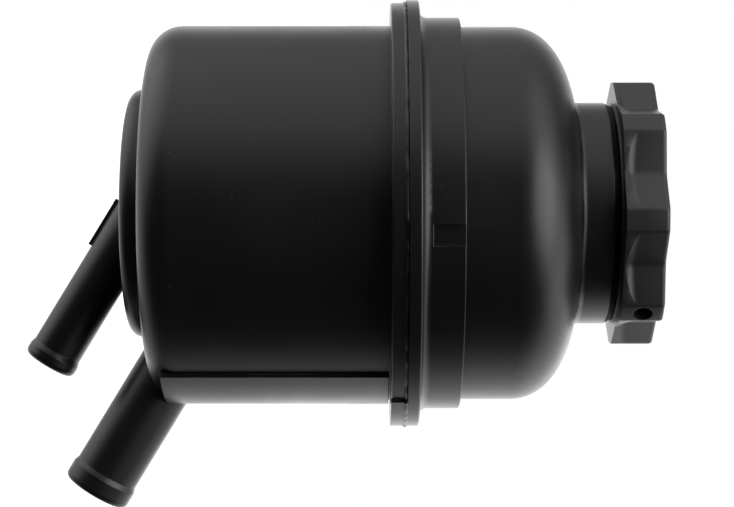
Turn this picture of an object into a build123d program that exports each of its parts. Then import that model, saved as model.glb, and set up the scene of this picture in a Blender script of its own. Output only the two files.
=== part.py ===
from build123d import *
import math
import os

os.makedirs("parts", exist_ok=True)

# A power steering reservoir, standing on its own axis with the filler cap up.
# All lengths are in millimetres. The origin is on the axis, at the middle of
# the round collar that the vehicle's band clamp grips. +X is the side that
# the two hose spigots point to, and +Z is up, out of the filler neck.

# Moulded halves: walls and radii
body_radius = 44.0
wall = 2.8
floor_wall = 3.0
base_corner_radius = 7.5
base_ledge = 14.8
boss_edge_radius = 3.0
well_corner_radius = 2.0
lower_flange_width = 5.3
upper_flange_width = 6.0
flange_edge_radius = 0.5
collar_rise = 1.9
collar_root_fillet = 2.0
collar_edge_radius = 0.3
dome_step = 0.25
shoulder_fullness_up = 0.51
shoulder_fullness_in = 0.62
shoulder_slope = 10.0
neck_collar_radius = 26.0
neck_collar_chamfer = 1.3
neck_root_fillet = 1.5
neck_radius = 21.9
neck_bore_radius = 19.8

# Moulded halves: heights, stacked from the collar's middle
collar_seat_height = 7.4
upper_flange_thickness = 2.84
lower_flange_thickness = 3.73
bowl_depth = 59.66
boss_depth = 5.0
dome_cylinder_height = 12.1
shoulder_height = 14.7
neck_collar_height = 8.5

# Collar notch, which keys the band clamp
notch_width = 4.7
notch_depth = 2.1
notch_height = 7.1
notch_angle = -83.0

# Tongue that centres the two halves where they are welded
tongue_thickness = 1.6
tongue_height = 1.2
weld_clearance = 0.15

# Raised pad and lug under the bracket, and the flange sector above them
pad_rise = 0.9
pad_half_angle = 33.8
pad_base_gap = 4.0
pad_flange_gap = 0.5
lug_rise = 0.4
lug_length = 8.8
lug_base_gap = 13.1
lug_start_angle = 4.0
lug_sweep = 9.0
tab_rise = 0.7
tab_half_angle = 31.0

# Hose spigots, both raked down by the same angle
spigot_droop = 31.3
return_radius = 5.9
return_bore_radius = 4.0
return_bead_rise = 0.4
return_bead_length = 4.0
return_reach = 41.8
return_root_height = 2.0
return_root_length = 9.4
return_rib_height = 0.8
return_rib_width = 1.6
return_rib_reach = 12.5
suction_radius = 7.65
suction_bore_radius = 5.6
suction_bead_rise = 0.45
suction_bead_length = 5.5
suction_reach = 26.4
suction_inset = 0.8
suction_root_length = 19.0
suction_mouth_length = 21.5
bead_ramp = 1.2
lip_radius = 1.4
mouth_chamfer = 0.6

# Standpipe that carries the filter
standpipe_radius = 7.0
standpipe_base_radius = 10.0
standpipe_base_height = 14.0
standpipe_land = 10.0

# Filler cap
cap_gap = 0.85
cap_height = 9.75
cap_lobe_radius = 30.8
cap_lobe_count = 8
cap_lobe_width = 4.9
cap_lobe_angle = -86.0
cap_foot_radius = 27.9
cap_valley_radius = 26.5
cap_valley_fillet = 2.8
cap_scoop_margin = 0.6
cap_edge_radius = 0.9
cap_top_thickness = 2.4
cap_skirt_drop = 0.5
cap_skirt_radius = 25.9
cap_cove_radius = 2.4
cap_cove_height = 0.35
cap_cove_sag = 1.4
thread_clearance = 1.0
vent_radius = 2.2
vent_depth = 3.4
vent_lobe_step = 1

# Swivel plug inside the cap, with its seal and the dipstick
swivel_stem_radius = 5.0
swivel_head_rise = 0.5
swivel_socket_gap = 0.3
swivel_clearance = 0.08
swivel_socket_wall = 2.0
swivel_socket_height = 3.0
swivel_lip_thickness = 1.0
insert_flange_thickness = 0.7
insert_skirt_wall = 1.8
insert_skirt_depth = 4.4
insert_floor_thickness = 1.6
pilot_clearance = 0.5
seal_thickness = 1.3
seal_gap = 0.2
lid_gap = 0.2
dipstick_length = 37.0
dipstick_width = 6.0
dipstick_thickness = 1.6
dipstick_boss_radius = 3.6
dipstick_boss_height = 5.0
dipstick_boss_draft = 4.0
dipstick_notch_depth = 1.0
dipstick_notch_height = 1.4
dipstick_low_level = 5.0
dipstick_high_level = 15.0
dipstick_tip_radius = 2.4

# Filter cartridge
filter_annulus = 10.2
filter_height = 36.0
end_disc_thickness = 1.6
end_disc_rim = 3.0
end_disc_rim_wall = 1.0
end_disc_edge_radius = 0.6
seat_gap = 0.2
grommet_wall = 3.4
grommet_height = 5.0
grommet_groove_depth = 1.6
grommet_clearance = 0.05
groove_clearance = 0.1
core_radius = 13.0
core_wall = 1.0
core_clearance = 0.2
core_hole_radius = 2.0
core_hole_rows = 3
core_holes_per_row = 8
pleat_count = 28
pleat_outer_gap = 0.6
pleat_inner_gap = 0.9
paper_thickness = 0.6
spring_seat_rise = 2.2
spring_seat_wall = 1.5

# Hold-down spring and the spoked ring above it
spring_radius = 11.0
spring_wire_radius = 0.9
spring_turns = 3.0
spring_end_gap = 0.1
spring_seat_gap = 0.4
retainer_ring_wall = 2.4
retainer_clearance = 0.3
retainer_hub_wall = 6.0
retainer_hub_radius = 8.0
retainer_thickness = 2.4
retainer_spoke_count = 6
retainer_spoke_width = 4.0
retainer_lip_height = 1.6

# Strainer disc over the outlet
strainer_height = 5.0
strainer_thickness = 1.6
strainer_clearance = 0.35
strainer_rim_width = 2.6
strainer_rim_height = 3.0
strainer_hub_width = 8.0
strainer_slot_count = 20
strainer_slot_width = 3.2
strainer_foot_radius = 2.2
strainer_foot_count = 6
strainer_foot_inset = 8.2

# Heights that follow from the stack
collar_top = collar_seat_height / 2
flange_top = -collar_seat_height / 2 - collar_root_fillet
weld_plane = flange_top - upper_flange_thickness
flange_underside = weld_plane - lower_flange_thickness
base_plane = weld_plane - bowl_depth
boss_plane = base_plane - boss_depth
shoulder_base = collar_top + dome_cylinder_height
neck_root = shoulder_base + shoulder_height
neck_collar_top = neck_root + neck_collar_height
cap_bottom = neck_collar_top + cap_gap
cap_top = cap_bottom + cap_height
cap_ceiling = cap_top - cap_top_thickness
neck_top = cap_ceiling - lid_gap - insert_flange_thickness - seal_thickness - seal_gap
bowl_floor = base_plane + floor_wall
well_floor = boss_plane + floor_wall

# Radii that follow from the bowl's and from the walls
boss_radius = body_radius - base_ledge
lower_flange_radius = body_radius + lower_flange_width
upper_flange_radius = body_radius + upper_flange_width
collar_radius = body_radius + collar_rise
dome_radius = body_radius - dome_step
bowl_inner_radius = body_radius - wall
dome_inner_radius = dome_radius - wall
collar_inner_radius = collar_radius - wall
well_radius = boss_radius - wall
neck_pocket_radius = neck_collar_radius - wall
thread_bore_radius = neck_radius + thread_clearance
filter_radius = bowl_inner_radius - filter_annulus

# Spigot axes, as planes that look out of each mouth
droop = math.radians(spigot_droop)
spigot_direction = Vector(math.cos(droop), 0, -math.sin(droop))
return_origin = Vector(0, 0, boss_plane + return_root_height)
suction_origin = Vector(body_radius - suction_inset, 0, base_plane)
return_plane = Plane(origin=return_origin, x_dir=(0, 1, 0), z_dir=spigot_direction)
suction_plane = Plane(origin=suction_origin, x_dir=(0, 1, 0), z_dir=spigot_direction)


def spigot_profile(radius, bead_rise, bead_length, reach, root_length):
    """Half section of a hose spigot, with its bead, along its own axis."""
    bead = radius + bead_rise
    bead_start = reach - bead_length
    FilletPolyline(
        (0, -root_length),
        (radius, -root_length),
        (radius, bead_start),
        (bead, bead_start + bead_ramp),
        (bead, reach),
        (0, reach),
        radius=[0, 0, 0, lip_radius],
    )
    Line((0, reach), (0, -root_length))


def section_plane(plane):
    """Plane that holds a spigot's axis, with its local y pointing out of the mouth."""
    return Plane(origin=plane.origin, x_dir=plane.x_dir, z_dir=-plane.y_dir)


def add_spigot(plane, radius, bead_rise, bead_length, reach, root_length):
    """Turns a spigot's half section about the axis that its plane gives."""
    with BuildSketch(section_plane(plane)) as half_section:
        with BuildLine():
            spigot_profile(radius, bead_rise, bead_length, reach, root_length)
        make_face()
    revolve(half_section.sketch, axis=Axis(plane.origin, plane.z_dir))


def upright_plane(angle):
    """Plane through the reservoir's axis, with its local x pointing out at an angle."""
    turn = math.radians(angle)
    out = (math.cos(turn), math.sin(turn), 0)
    return Plane(origin=(0, 0, 0), x_dir=out, z_dir=(math.sin(turn), -math.cos(turn), 0))


def ring_sector(inner, outer, low, high, start_angle, sweep, mode=Mode.ADD):
    """Adds or cuts a sector of a ring, from a start angle about the reservoir's axis."""
    with BuildSketch(upright_plane(start_angle)) as section:
        with Locations(((inner + outer) / 2, (low + high) / 2)):
            Rectangle(outer - inner, high - low)
    revolve(section.sketch, axis=Axis.Z, revolution_arc=sweep, mode=mode)


def dome_edge(inset):
    """The shoulder from the dome's cylinder to the neck's root, set in by a wall."""
    slope = math.tan(math.radians(shoulder_slope))
    root_radius = neck_collar_radius - inset
    root_height = neck_root - inset
    handle_up = shoulder_fullness_up * shoulder_height
    handle_in = shoulder_fullness_in * (dome_radius - neck_collar_radius)
    Bezier(
        (dome_radius - inset, shoulder_base),
        (dome_radius - inset, shoulder_base + handle_up),
        (root_radius + handle_in, root_height - handle_in * slope),
        (root_radius, root_height),
    )


# Lower bowl: boss, bracket pad, weld flange, hose spigots and standpipe in one
with BuildPart() as lower_bowl:
    with BuildSketch(Plane.XZ):
        with BuildLine():
            FilletPolyline(
                (0, boss_plane),
                (boss_radius, boss_plane),
                (boss_radius, base_plane),
                (body_radius, base_plane),
                (body_radius, flange_underside),
                (lower_flange_radius, flange_underside),
                (lower_flange_radius, weld_plane),
                (0, weld_plane),
                radius=[boss_edge_radius, 0, base_corner_radius, 0, flange_edge_radius, 0],
            )
            Line((0, weld_plane), (0, boss_plane))
        make_face()
    revolve(axis=Axis.Z)

    # Raised pad and lug under the bracket, and the wider flange sector
    pad_low = base_plane + pad_base_gap
    pad_high = flange_underside - pad_flange_gap
    pad_radius = body_radius + pad_rise
    pad_root = body_radius - wall / 2
    ring_sector(pad_root, pad_radius, pad_low, pad_high, -pad_half_angle, 2 * pad_half_angle)
    lug_low = base_plane + lug_base_gap
    lug_high = lug_low + lug_length
    ring_sector(body_radius, pad_radius + lug_rise, lug_low, lug_high, lug_start_angle, lug_sweep)
    ring_sector(
        body_radius,
        lower_flange_radius + tab_rise,
        flange_underside,
        weld_plane,
        -tab_half_angle,
        2 * tab_half_angle,
    )

    # Hose spigots, and the low rib along the underside of the return spigot
    add_spigot(
        return_plane,
        return_radius,
        return_bead_rise,
        return_bead_length,
        return_reach,
        return_root_length,
    )
    add_spigot(
        suction_plane,
        suction_radius,
        suction_bead_rise,
        suction_bead_length,
        suction_reach,
        suction_root_length,
    )
    with BuildSketch(return_plane):
        with Locations((0, -return_radius)):
            Rectangle(return_rib_width, 2 * return_rib_height)
    extrude(amount=return_rib_reach)

    # Hollow of the bowl, down to its floor and into the boss
    with BuildSketch(Plane.XZ):
        with BuildLine():
            FilletPolyline(
                (standpipe_base_radius, weld_plane),
                (standpipe_base_radius, well_floor),
                (well_radius, well_floor),
                (well_radius, bowl_floor),
                (bowl_inner_radius, bowl_floor),
                (bowl_inner_radius, weld_plane),
                radius=[0, well_corner_radius, 0, base_corner_radius - wall],
            )
            Line((bowl_inner_radius, weld_plane), (standpipe_base_radius, weld_plane))
        make_face()
    revolve(axis=Axis.Z, mode=Mode.SUBTRACT)

    # Standpipe: a wide foot, a slimmer land for the filter's grommet, and its bore
    standpipe_shoulder = well_floor + standpipe_base_height
    standpipe_top = standpipe_shoulder + standpipe_land
    with BuildSketch(Plane.XZ):
        with BuildLine():
            Polyline(
                (0, standpipe_top),
                (standpipe_radius, standpipe_top),
                (standpipe_radius, standpipe_shoulder),
                (standpipe_base_radius + wall, standpipe_shoulder),
                (standpipe_base_radius + wall, weld_plane),
                (0, weld_plane),
                (0, standpipe_top),
            )
        make_face()
    revolve(axis=Axis.Z, mode=Mode.SUBTRACT)
    with BuildSketch(Plane.XY.offset(standpipe_top)):
        Circle(return_bore_radius)
    extrude(amount=-(standpipe_top - return_origin.Z), mode=Mode.SUBTRACT)

    # Bores of the two spigots, with a small chamfer at each mouth
    for plane, bore, reach, inner_end in (
        (return_plane, return_bore_radius, return_reach, -return_bore_radius),
        (suction_plane, suction_bore_radius, suction_reach, -suction_mouth_length),
    ):
        with BuildSketch(section_plane(plane)):
            with BuildLine():
                Polyline(
                    (0, inner_end),
                    (bore, inner_end),
                    (bore, reach - mouth_chamfer),
                    (bore + mouth_chamfer, reach),
                    (0, reach),
                    (0, inner_end),
                )
            make_face()
        revolve(axis=Axis(plane.origin, plane.z_dir), mode=Mode.SUBTRACT)

    # Tongue on the rim, which centres the upper half
    with BuildSketch(Plane.XY.offset(weld_plane)):
        Circle(collar_inner_radius + tongue_thickness)
        Circle(collar_inner_radius, mode=Mode.SUBTRACT)
    extrude(amount=tongue_height)
lower_bowl.part.label = "lower_bowl"
export_step(lower_bowl.part, "parts/lower_bowl.step")


# Upper housing: weld flange, notched collar, dome, neck collar and screw neck
collar_step = collar_top - wall
neck_pocket_top = neck_collar_top - wall
with BuildPart() as upper_housing:
    with BuildSketch(Plane.XZ) as housing_section:
        with BuildLine():
            FilletPolyline(
                (collar_inner_radius, weld_plane),
                (upper_flange_radius, weld_plane),
                (upper_flange_radius, flange_top),
                (collar_radius, flange_top),
                (collar_radius, collar_top),
                (dome_radius, collar_top),
                (dome_radius, shoulder_base),
                radius=[0, flange_edge_radius, collar_root_fillet, collar_edge_radius, 0],
            )
            dome_edge(0)
            FilletPolyline(
                (neck_collar_radius, neck_root),
                (neck_collar_radius, neck_collar_top - neck_collar_chamfer),
                (neck_collar_radius - neck_collar_chamfer / 2, neck_collar_top),
                (neck_radius, neck_collar_top),
                (neck_radius, neck_top),
                (neck_bore_radius, neck_top),
                (neck_bore_radius, neck_pocket_top),
                (neck_pocket_radius, neck_pocket_top),
                (neck_pocket_radius, neck_root - wall),
                radius=[neck_collar_chamfer / 2, 0, 0, flange_edge_radius, 0, 0, 0],
            )
            dome_edge(wall)
            Polyline(
                (dome_inner_radius, shoulder_base),
                (dome_inner_radius, collar_step),
                (collar_inner_radius, collar_step),
                (collar_inner_radius, weld_plane),
            )
        make_face()
        neck_root_corner = housing_section.vertices().sort_by_distance((neck_collar_radius, neck_root))[0]
        fillet(neck_root_corner, neck_root_fillet)
    revolve(axis=Axis.Z)

    # Notch that keys the band clamp, open towards the dome
    notch_sweep = math.degrees(notch_width / collar_radius)
    ring_sector(
        collar_radius - notch_depth,
        collar_radius + wall,
        collar_top - notch_height,
        collar_top + wall,
        notch_angle - notch_sweep / 2,
        notch_sweep,
        Mode.SUBTRACT,
    )

    # Rebate that fits over the bowl's tongue
    with BuildSketch(Plane.XY.offset(weld_plane)):
        Circle(collar_inner_radius + tongue_thickness + weld_clearance)
        Circle(collar_inner_radius - wall / 2, mode=Mode.SUBTRACT)
    extrude(amount=tongue_height + weld_clearance, mode=Mode.SUBTRACT)
upper_housing.part.label = "upper_housing"
export_step(upper_housing.part, "parts/upper_housing.step")


# Filler cap: lobes with V-shaped gaps, a scoop in each gap, thread bore and swivel socket
cap_pitch = 360 / cap_lobe_count
lobe_half_angle = math.asin(cap_lobe_width / 2 / cap_lobe_radius)
gap_half_angle = math.radians(cap_pitch / 2) - lobe_half_angle
gap_corner = (cap_lobe_radius * math.cos(gap_half_angle), cap_lobe_radius * math.sin(gap_half_angle))
gap_flare = cap_lobe_radius - cap_valley_radius + cap_cove_radius
gap_outer = (
    gap_corner[0] + gap_flare * math.cos(math.radians(cap_pitch / 2)),
    gap_corner[1] + gap_flare * math.sin(math.radians(cap_pitch / 2)),
)

# Scoop in each gap: two faces that meet in a soft valley, and a cove at their foot
scoop_half_width = gap_corner[1] - cap_scoop_margin
foot_lean = (gap_corner[0] - cap_foot_radius) / gap_corner[1]
scoop_edge = cap_foot_radius + foot_lean * scoop_half_width
scoop_lean = (scoop_edge - cap_valley_radius) / scoop_half_width
scoop_corner = (cap_valley_radius + scoop_lean * gap_outer[1], gap_outer[1])
scoop_floor = cap_bottom + cap_cove_height
with BuildPart() as scoop:
    with BuildSketch(Plane.XY.offset(scoop_floor)):
        with BuildLine():
            FilletPolyline(
                scoop_corner,
                (cap_valley_radius, 0),
                (scoop_corner[0], -scoop_corner[1]),
                radius=cap_valley_fillet,
            )
            Polyline(
                (scoop_corner[0], -scoop_corner[1]),
                (scoop_corner[0] + gap_flare, -scoop_corner[1]),
                (scoop_corner[0] + gap_flare, scoop_corner[1]),
                scoop_corner,
            )
        make_face()
    extrude(amount=cap_height)
    with BuildSketch(Plane.YZ):
        with BuildLine():
            arc_end = (scoop_corner[1], scoop_floor + cap_cove_sag)
            ThreePointArc((-arc_end[0], arc_end[1]), (0, scoop_floor), arc_end)
            Polyline(
                arc_end,
                (arc_end[0], scoop_floor + cap_height),
                (-arc_end[0], scoop_floor + cap_height),
                (-arc_end[0], arc_end[1]),
            )
        make_face()
    extrude(amount=cap_lobe_radius + 2 * gap_flare, mode=Mode.INTERSECT)
    scoop_foot = scoop.faces().sort_by(Axis.Z)[0]
    fillet(scoop_foot.edges().sort_by(Axis.X)[0:3], cap_cove_radius)

socket_radius = swivel_stem_radius + swivel_head_rise + swivel_socket_gap
socket_low = cap_ceiling - swivel_socket_height
with BuildPart() as filler_cap:
    with BuildSketch(Plane.XZ):
        with BuildLine():
            Polyline(
                (0, cap_top),
                (cap_lobe_radius, cap_top),
                (cap_lobe_radius, cap_bottom),
                (cap_skirt_radius, cap_bottom),
                (cap_skirt_radius, cap_bottom - cap_skirt_drop),
                (thread_bore_radius, cap_bottom - cap_skirt_drop),
                (thread_bore_radius, cap_ceiling),
                (socket_radius + swivel_socket_wall, cap_ceiling),
                (socket_radius + swivel_socket_wall, socket_low),
                (swivel_stem_radius + swivel_clearance, socket_low),
                (swivel_stem_radius + swivel_clearance, socket_low + swivel_lip_thickness),
                (socket_radius, socket_low + swivel_lip_thickness),
                (socket_radius, cap_ceiling),
                (0, cap_ceiling),
                (0, cap_top),
            )
        make_face()
    revolve(axis=Axis.Z)

    # Gaps between the lobes, from edge to edge
    with BuildSketch(Plane.XY.offset(cap_bottom)):
        with PolarLocations(0, cap_lobe_count, start_angle=cap_lobe_angle + cap_pitch / 2):
            with BuildLine():
                Polyline(
                    (cap_foot_radius, 0),
                    gap_corner,
                    gap_outer,
                    (gap_outer[0], -gap_outer[1]),
                    (gap_corner[0], -gap_corner[1]),
                    (cap_foot_radius, 0),
                )
            make_face()
    extrude(amount=cap_height, mode=Mode.SUBTRACT)

    # Scoops for the fingers
    with PolarLocations(0, cap_lobe_count, start_angle=cap_lobe_angle + cap_pitch / 2):
        add(scoop.part, mode=Mode.SUBTRACT)
    fillet(filler_cap.faces().sort_by(Axis.Z)[-1].edges(), cap_edge_radius)

    # Small blind hole in one lobe
    vent_angle = math.radians(cap_lobe_angle + vent_lobe_step * cap_pitch)
    vent_out = Vector(math.cos(vent_angle), math.sin(vent_angle), 0)
    vent_height = cap_bottom + cap_height / 2
    vent_centre = vent_out * cap_lobe_radius + Vector(0, 0, vent_height)
    with BuildSketch(Plane(origin=vent_centre, x_dir=(0, 0, 1), z_dir=vent_out)):
        Circle(vent_radius)
    extrude(amount=-vent_depth, mode=Mode.SUBTRACT)
filler_cap.part.label = "filler_cap"
export_step(filler_cap.part, "parts/filler_cap.step")


# Swivel plug: a hat that pilots in the neck and snaps into the cap's socket
insert_flange_low = cap_ceiling - lid_gap - insert_flange_thickness
insert_low = insert_flange_low - insert_skirt_depth
insert_floor_top = insert_low + insert_floor_thickness
insert_skirt_radius = neck_bore_radius - pilot_clearance
insert_inner_radius = insert_skirt_radius - insert_skirt_wall
insert_flange_top = insert_flange_low + insert_flange_thickness
swivel_head_low = socket_low + swivel_lip_thickness + lid_gap
with BuildPart() as cap_insert:
    with BuildSketch(Plane.XZ):
        with BuildLine():
            Polyline(
                (0, insert_low),
                (insert_skirt_radius, insert_low),
                (insert_skirt_radius, insert_flange_low),
                (neck_radius, insert_flange_low),
                (neck_radius, insert_flange_top),
                (insert_inner_radius, insert_flange_top),
                (insert_inner_radius, insert_floor_top),
                (swivel_stem_radius, insert_floor_top),
                (swivel_stem_radius, swivel_head_low),
                (swivel_stem_radius + swivel_head_rise, swivel_head_low),
                (swivel_stem_radius, cap_ceiling - 2 * lid_gap),
                (0, cap_ceiling - 2 * lid_gap),
                (0, insert_low),
            )
        make_face()
    revolve(axis=Axis.Z)
cap_insert.part.label = "cap_insert"
export_step(cap_insert.part, "parts/cap_insert.step")


# Seal ring between the end of the neck and the plug's flange
with BuildPart() as cap_seal_ring:
    with BuildSketch(Plane.XY.offset(neck_top + seal_gap)):
        Circle(neck_radius)
        Circle(insert_skirt_radius + seal_gap, mode=Mode.SUBTRACT)
    extrude(amount=seal_thickness)
    fillet(cap_seal_ring.edges().group_by(Axis.Z)[0], seal_thickness / 4)
cap_seal_ring.part.label = "cap_seal_ring"
export_step(cap_seal_ring.part, "parts/cap_seal_ring.step")


# Dipstick: grip boss under the plug, and a flat blade with two level notches
dipstick_low = insert_low - dipstick_length
with BuildPart() as dipstick:
    with BuildSketch(Plane.XY.offset(insert_low)):
        Circle(dipstick_boss_radius)
    extrude(amount=-dipstick_boss_height, taper=dipstick_boss_draft)
    with BuildSketch(Plane.XZ.offset(-dipstick_thickness / 2)):
        with Locations((0, (insert_low + dipstick_low) / 2)):
            Rectangle(dipstick_width, dipstick_length)
        with Locations(
            *[
                (side * dipstick_width / 2, dipstick_low + level)
                for side in (-1, 1)
                for level in (dipstick_low_level, dipstick_high_level)
            ]
        ):
            Rectangle(2 * dipstick_notch_depth, dipstick_notch_height, mode=Mode.SUBTRACT)
    extrude(amount=dipstick_thickness)
    tip_corners = dipstick.edges().filter_by(Axis.Y).group_by(Axis.Z)[0]
    fillet(tip_corners, dipstick_tip_radius)
dipstick.part.label = "dipstick"
export_step(dipstick.part, "parts/dipstick.step")


# Spoked ring clamped between the halves, which holds the spring down
hub_outer_radius = retainer_hub_radius + retainer_hub_wall
retainer_outer_radius = collar_inner_radius - retainer_clearance
retainer_inner_radius = retainer_outer_radius - retainer_ring_wall
hub_low = collar_step - retainer_thickness
with BuildPart() as spring_retainer:
    with BuildSketch(Plane.XY.offset(weld_plane)):
        Circle(retainer_outer_radius)
        Circle(retainer_inner_radius, mode=Mode.SUBTRACT)
    extrude(amount=collar_step - weld_plane)
    with BuildSketch(Plane.XY.offset(hub_low)):
        Circle(hub_outer_radius)
        spoke_length = retainer_inner_radius - hub_outer_radius + retainer_ring_wall
        spoke_circle = hub_outer_radius + spoke_length / 2 - retainer_ring_wall / 2
        with PolarLocations(spoke_circle, retainer_spoke_count):
            Rectangle(spoke_length, retainer_spoke_width)
        Circle(retainer_hub_radius, mode=Mode.SUBTRACT)
    extrude(amount=retainer_thickness)
    with BuildSketch(Plane.XY.offset(hub_low)):
        Circle(spring_radius - spring_wire_radius - spring_seat_gap)
        Circle(retainer_hub_radius, mode=Mode.SUBTRACT)
    extrude(amount=-retainer_lip_height)
spring_retainer.part.label = "spring_retainer"
export_step(spring_retainer.part, "parts/spring_retainer.step")


# Rubber grommet that seals the filter on the standpipe and slides on its land
grommet_bore_radius = standpipe_radius + grommet_clearance
grommet_radius = grommet_bore_radius + grommet_wall
grommet_low = standpipe_shoulder + seat_gap
groove_radius = grommet_radius - grommet_groove_depth
groove_width = end_disc_thickness + 2 * groove_clearance
groove_low = grommet_low + (grommet_height - groove_width) / 2
with BuildPart() as filter_grommet:
    with BuildSketch(Plane.XZ):
        with BuildLine():
            Polyline(
                (grommet_bore_radius, grommet_low),
                (grommet_radius, grommet_low),
                (grommet_radius, groove_low),
                (groove_radius, groove_low),
                (groove_radius, groove_low + groove_width),
                (grommet_radius, groove_low + groove_width),
                (grommet_radius, grommet_low + grommet_height),
                (grommet_bore_radius, grommet_low + grommet_height),
                (grommet_bore_radius, grommet_low),
            )
        make_face()
    revolve(axis=Axis.Z)
filter_grommet.part.label = "filter_grommet"
export_step(filter_grommet.part, "parts/filter_grommet.step")


# Filter end discs: each has a turned rim and a ring that locates the core
filter_low = groove_low + groove_clearance
filter_top = filter_low + filter_height
core_low = filter_low + end_disc_thickness
core_top = filter_top - end_disc_thickness
locating_radius = core_radius + core_clearance
with BuildPart() as filter_bottom_plate:
    with BuildSketch(Plane.XY.offset(filter_low)):
        Circle(filter_radius)
        Circle(groove_radius + groove_clearance, mode=Mode.SUBTRACT)
    extrude(amount=end_disc_thickness)
    with BuildSketch(Plane.XY.offset(core_low)):
        Circle(filter_radius)
        Circle(filter_radius - end_disc_rim_wall, mode=Mode.SUBTRACT)
        Circle(locating_radius + end_disc_rim_wall)
        Circle(locating_radius, mode=Mode.SUBTRACT)
    extrude(amount=end_disc_rim - end_disc_thickness)
    outer_edge = filter_bottom_plate.edges().group_by(Axis.Z)[0].sort_by(SortBy.RADIUS)[-1]
    fillet(outer_edge, end_disc_edge_radius)
filter_bottom_plate.part.label = "filter_bottom_plate"
export_step(filter_bottom_plate.part, "parts/filter_bottom_plate.step")

seat_radius = spring_radius + spring_wire_radius + spring_seat_gap
with BuildPart() as filter_top_plate:
    with BuildSketch(Plane.XY.offset(filter_top)):
        Circle(filter_radius)
    extrude(amount=-end_disc_thickness)
    with BuildSketch(Plane.XY.offset(core_top)):
        Circle(filter_radius)
        Circle(filter_radius - end_disc_rim_wall, mode=Mode.SUBTRACT)
        Circle(locating_radius + end_disc_rim_wall)
        Circle(locating_radius, mode=Mode.SUBTRACT)
    extrude(amount=-(end_disc_rim - end_disc_thickness))
    fillet(filter_top_plate.edges().group_by(Axis.Z)[-1], end_disc_edge_radius)
    with BuildSketch(Plane.XY.offset(filter_top)):
        Circle(seat_radius + spring_seat_wall)
        Circle(seat_radius, mode=Mode.SUBTRACT)
    extrude(amount=spring_seat_rise)
filter_top_plate.part.label = "filter_top_plate"
export_step(filter_top_plate.part, "parts/filter_top_plate.step")


# Perforated core tube, with its rows of holes staggered
row_spacing = (core_top - core_low) / (core_hole_rows + 1)
with BuildPart() as filter_core:
    with BuildSketch(Plane.XY.offset(core_low)):
        Circle(core_radius)
        Circle(core_radius - core_wall, mode=Mode.SUBTRACT)
    extrude(amount=core_top - core_low)
    for row in range(core_hole_rows):
        stagger = (row % 2) * 180 / core_holes_per_row
        for hole in range(core_holes_per_row):
            hole_angle = stagger + hole * 360 / core_holes_per_row
            hole_plane = upright_plane(hole_angle + 90)
            with BuildSketch(hole_plane):
                with Locations((0, core_low + (row + 1) * row_spacing)):
                    Circle(core_hole_radius)
            extrude(amount=core_radius + core_wall, mode=Mode.SUBTRACT)
filter_core.part.label = "filter_core"
export_step(filter_core.part, "parts/filter_core.step")


# Pleated paper between the end discs
pleat_outer = filter_radius - end_disc_rim_wall - pleat_outer_gap
pleat_inner = locating_radius + end_disc_rim_wall + pleat_inner_gap
half_pleat = math.pi / pleat_count
flank_across = pleat_inner * math.sin(half_pleat)
flank_lean = math.atan2(flank_across, pleat_outer - pleat_inner * math.cos(half_pleat))
paper_depth = paper_thickness / math.sin(flank_lean)
with BuildPart() as filter_media:
    with BuildSketch(Plane.XY.offset(core_low)):
        for tip, root, fold_mode in (
            (pleat_outer, pleat_inner + paper_depth, Mode.ADD),
            (pleat_outer - paper_depth, pleat_inner, Mode.SUBTRACT),
        ):
            folds = [
                (
                    (tip, root)[fold % 2] * math.cos(fold * half_pleat),
                    (tip, root)[fold % 2] * math.sin(fold * half_pleat),
                )
                for fold in range(2 * pleat_count)
            ]
            with BuildLine():
                Polyline(*folds, close=True)
            make_face(mode=fold_mode)
    extrude(amount=core_top - core_low)
filter_media.part.label = "filter_media"
export_step(filter_media.part, "parts/filter_media.step")


# Hold-down spring between the top disc and the retainer's hub
spring_low = filter_top + spring_wire_radius + spring_end_gap
spring_high = hub_low - spring_wire_radius - spring_end_gap
spring_pitch = (spring_high - spring_low) / spring_turns
with BuildPart() as filter_spring:
    with BuildLine() as coil:
        Helix(spring_pitch, spring_high - spring_low, spring_radius, center=(0, 0, spring_low))
    with BuildSketch(Plane(origin=coil.line @ 0, z_dir=coil.line % 0)):
        Circle(spring_wire_radius)
    sweep(is_frenet=True)
filter_spring.part.label = "filter_spring"
export_step(filter_spring.part, "parts/filter_spring.step")


# Strainer disc on short feet above the outlet to the pump
strainer_low = bowl_floor + strainer_height
strainer_inner_radius = standpipe_base_radius + strainer_clearance
strainer_outer_radius = bowl_inner_radius - strainer_clearance
slot_inner = strainer_inner_radius + strainer_hub_width
slot_outer = strainer_outer_radius - strainer_rim_width
foot_circle = bowl_inner_radius - strainer_foot_inset
with BuildPart() as suction_strainer:
    with BuildSketch(Plane.XY.offset(strainer_low)):
        Circle(strainer_outer_radius)
        Circle(strainer_inner_radius, mode=Mode.SUBTRACT)
        with PolarLocations((slot_inner + slot_outer) / 2, strainer_slot_count):
            SlotOverall(slot_outer - slot_inner, strainer_slot_width, mode=Mode.SUBTRACT)
    extrude(amount=strainer_thickness)
    with BuildSketch(Plane.XY.offset(strainer_low + strainer_thickness)):
        Circle(strainer_outer_radius)
        Circle(strainer_outer_radius - strainer_rim_width / 2, mode=Mode.SUBTRACT)
    extrude(amount=strainer_rim_height - strainer_thickness)
    with BuildSketch(Plane.XY.offset(bowl_floor)):
        with PolarLocations(foot_circle, strainer_foot_count, start_angle=180 / strainer_foot_count):
            Circle(strainer_foot_radius)
    extrude(amount=strainer_height + strainer_thickness)
suction_strainer.part.label = "suction_strainer"
export_step(suction_strainer.part, "parts/suction_strainer.step")
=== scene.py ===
"""Studio view of a power steering reservoir: finishes, fine moulded detail, light and camera."""

import logging
import math
import random
from dataclasses import dataclass
from enum import Enum

import bmesh
import bpy
from mathutils import Matrix, Vector


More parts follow.
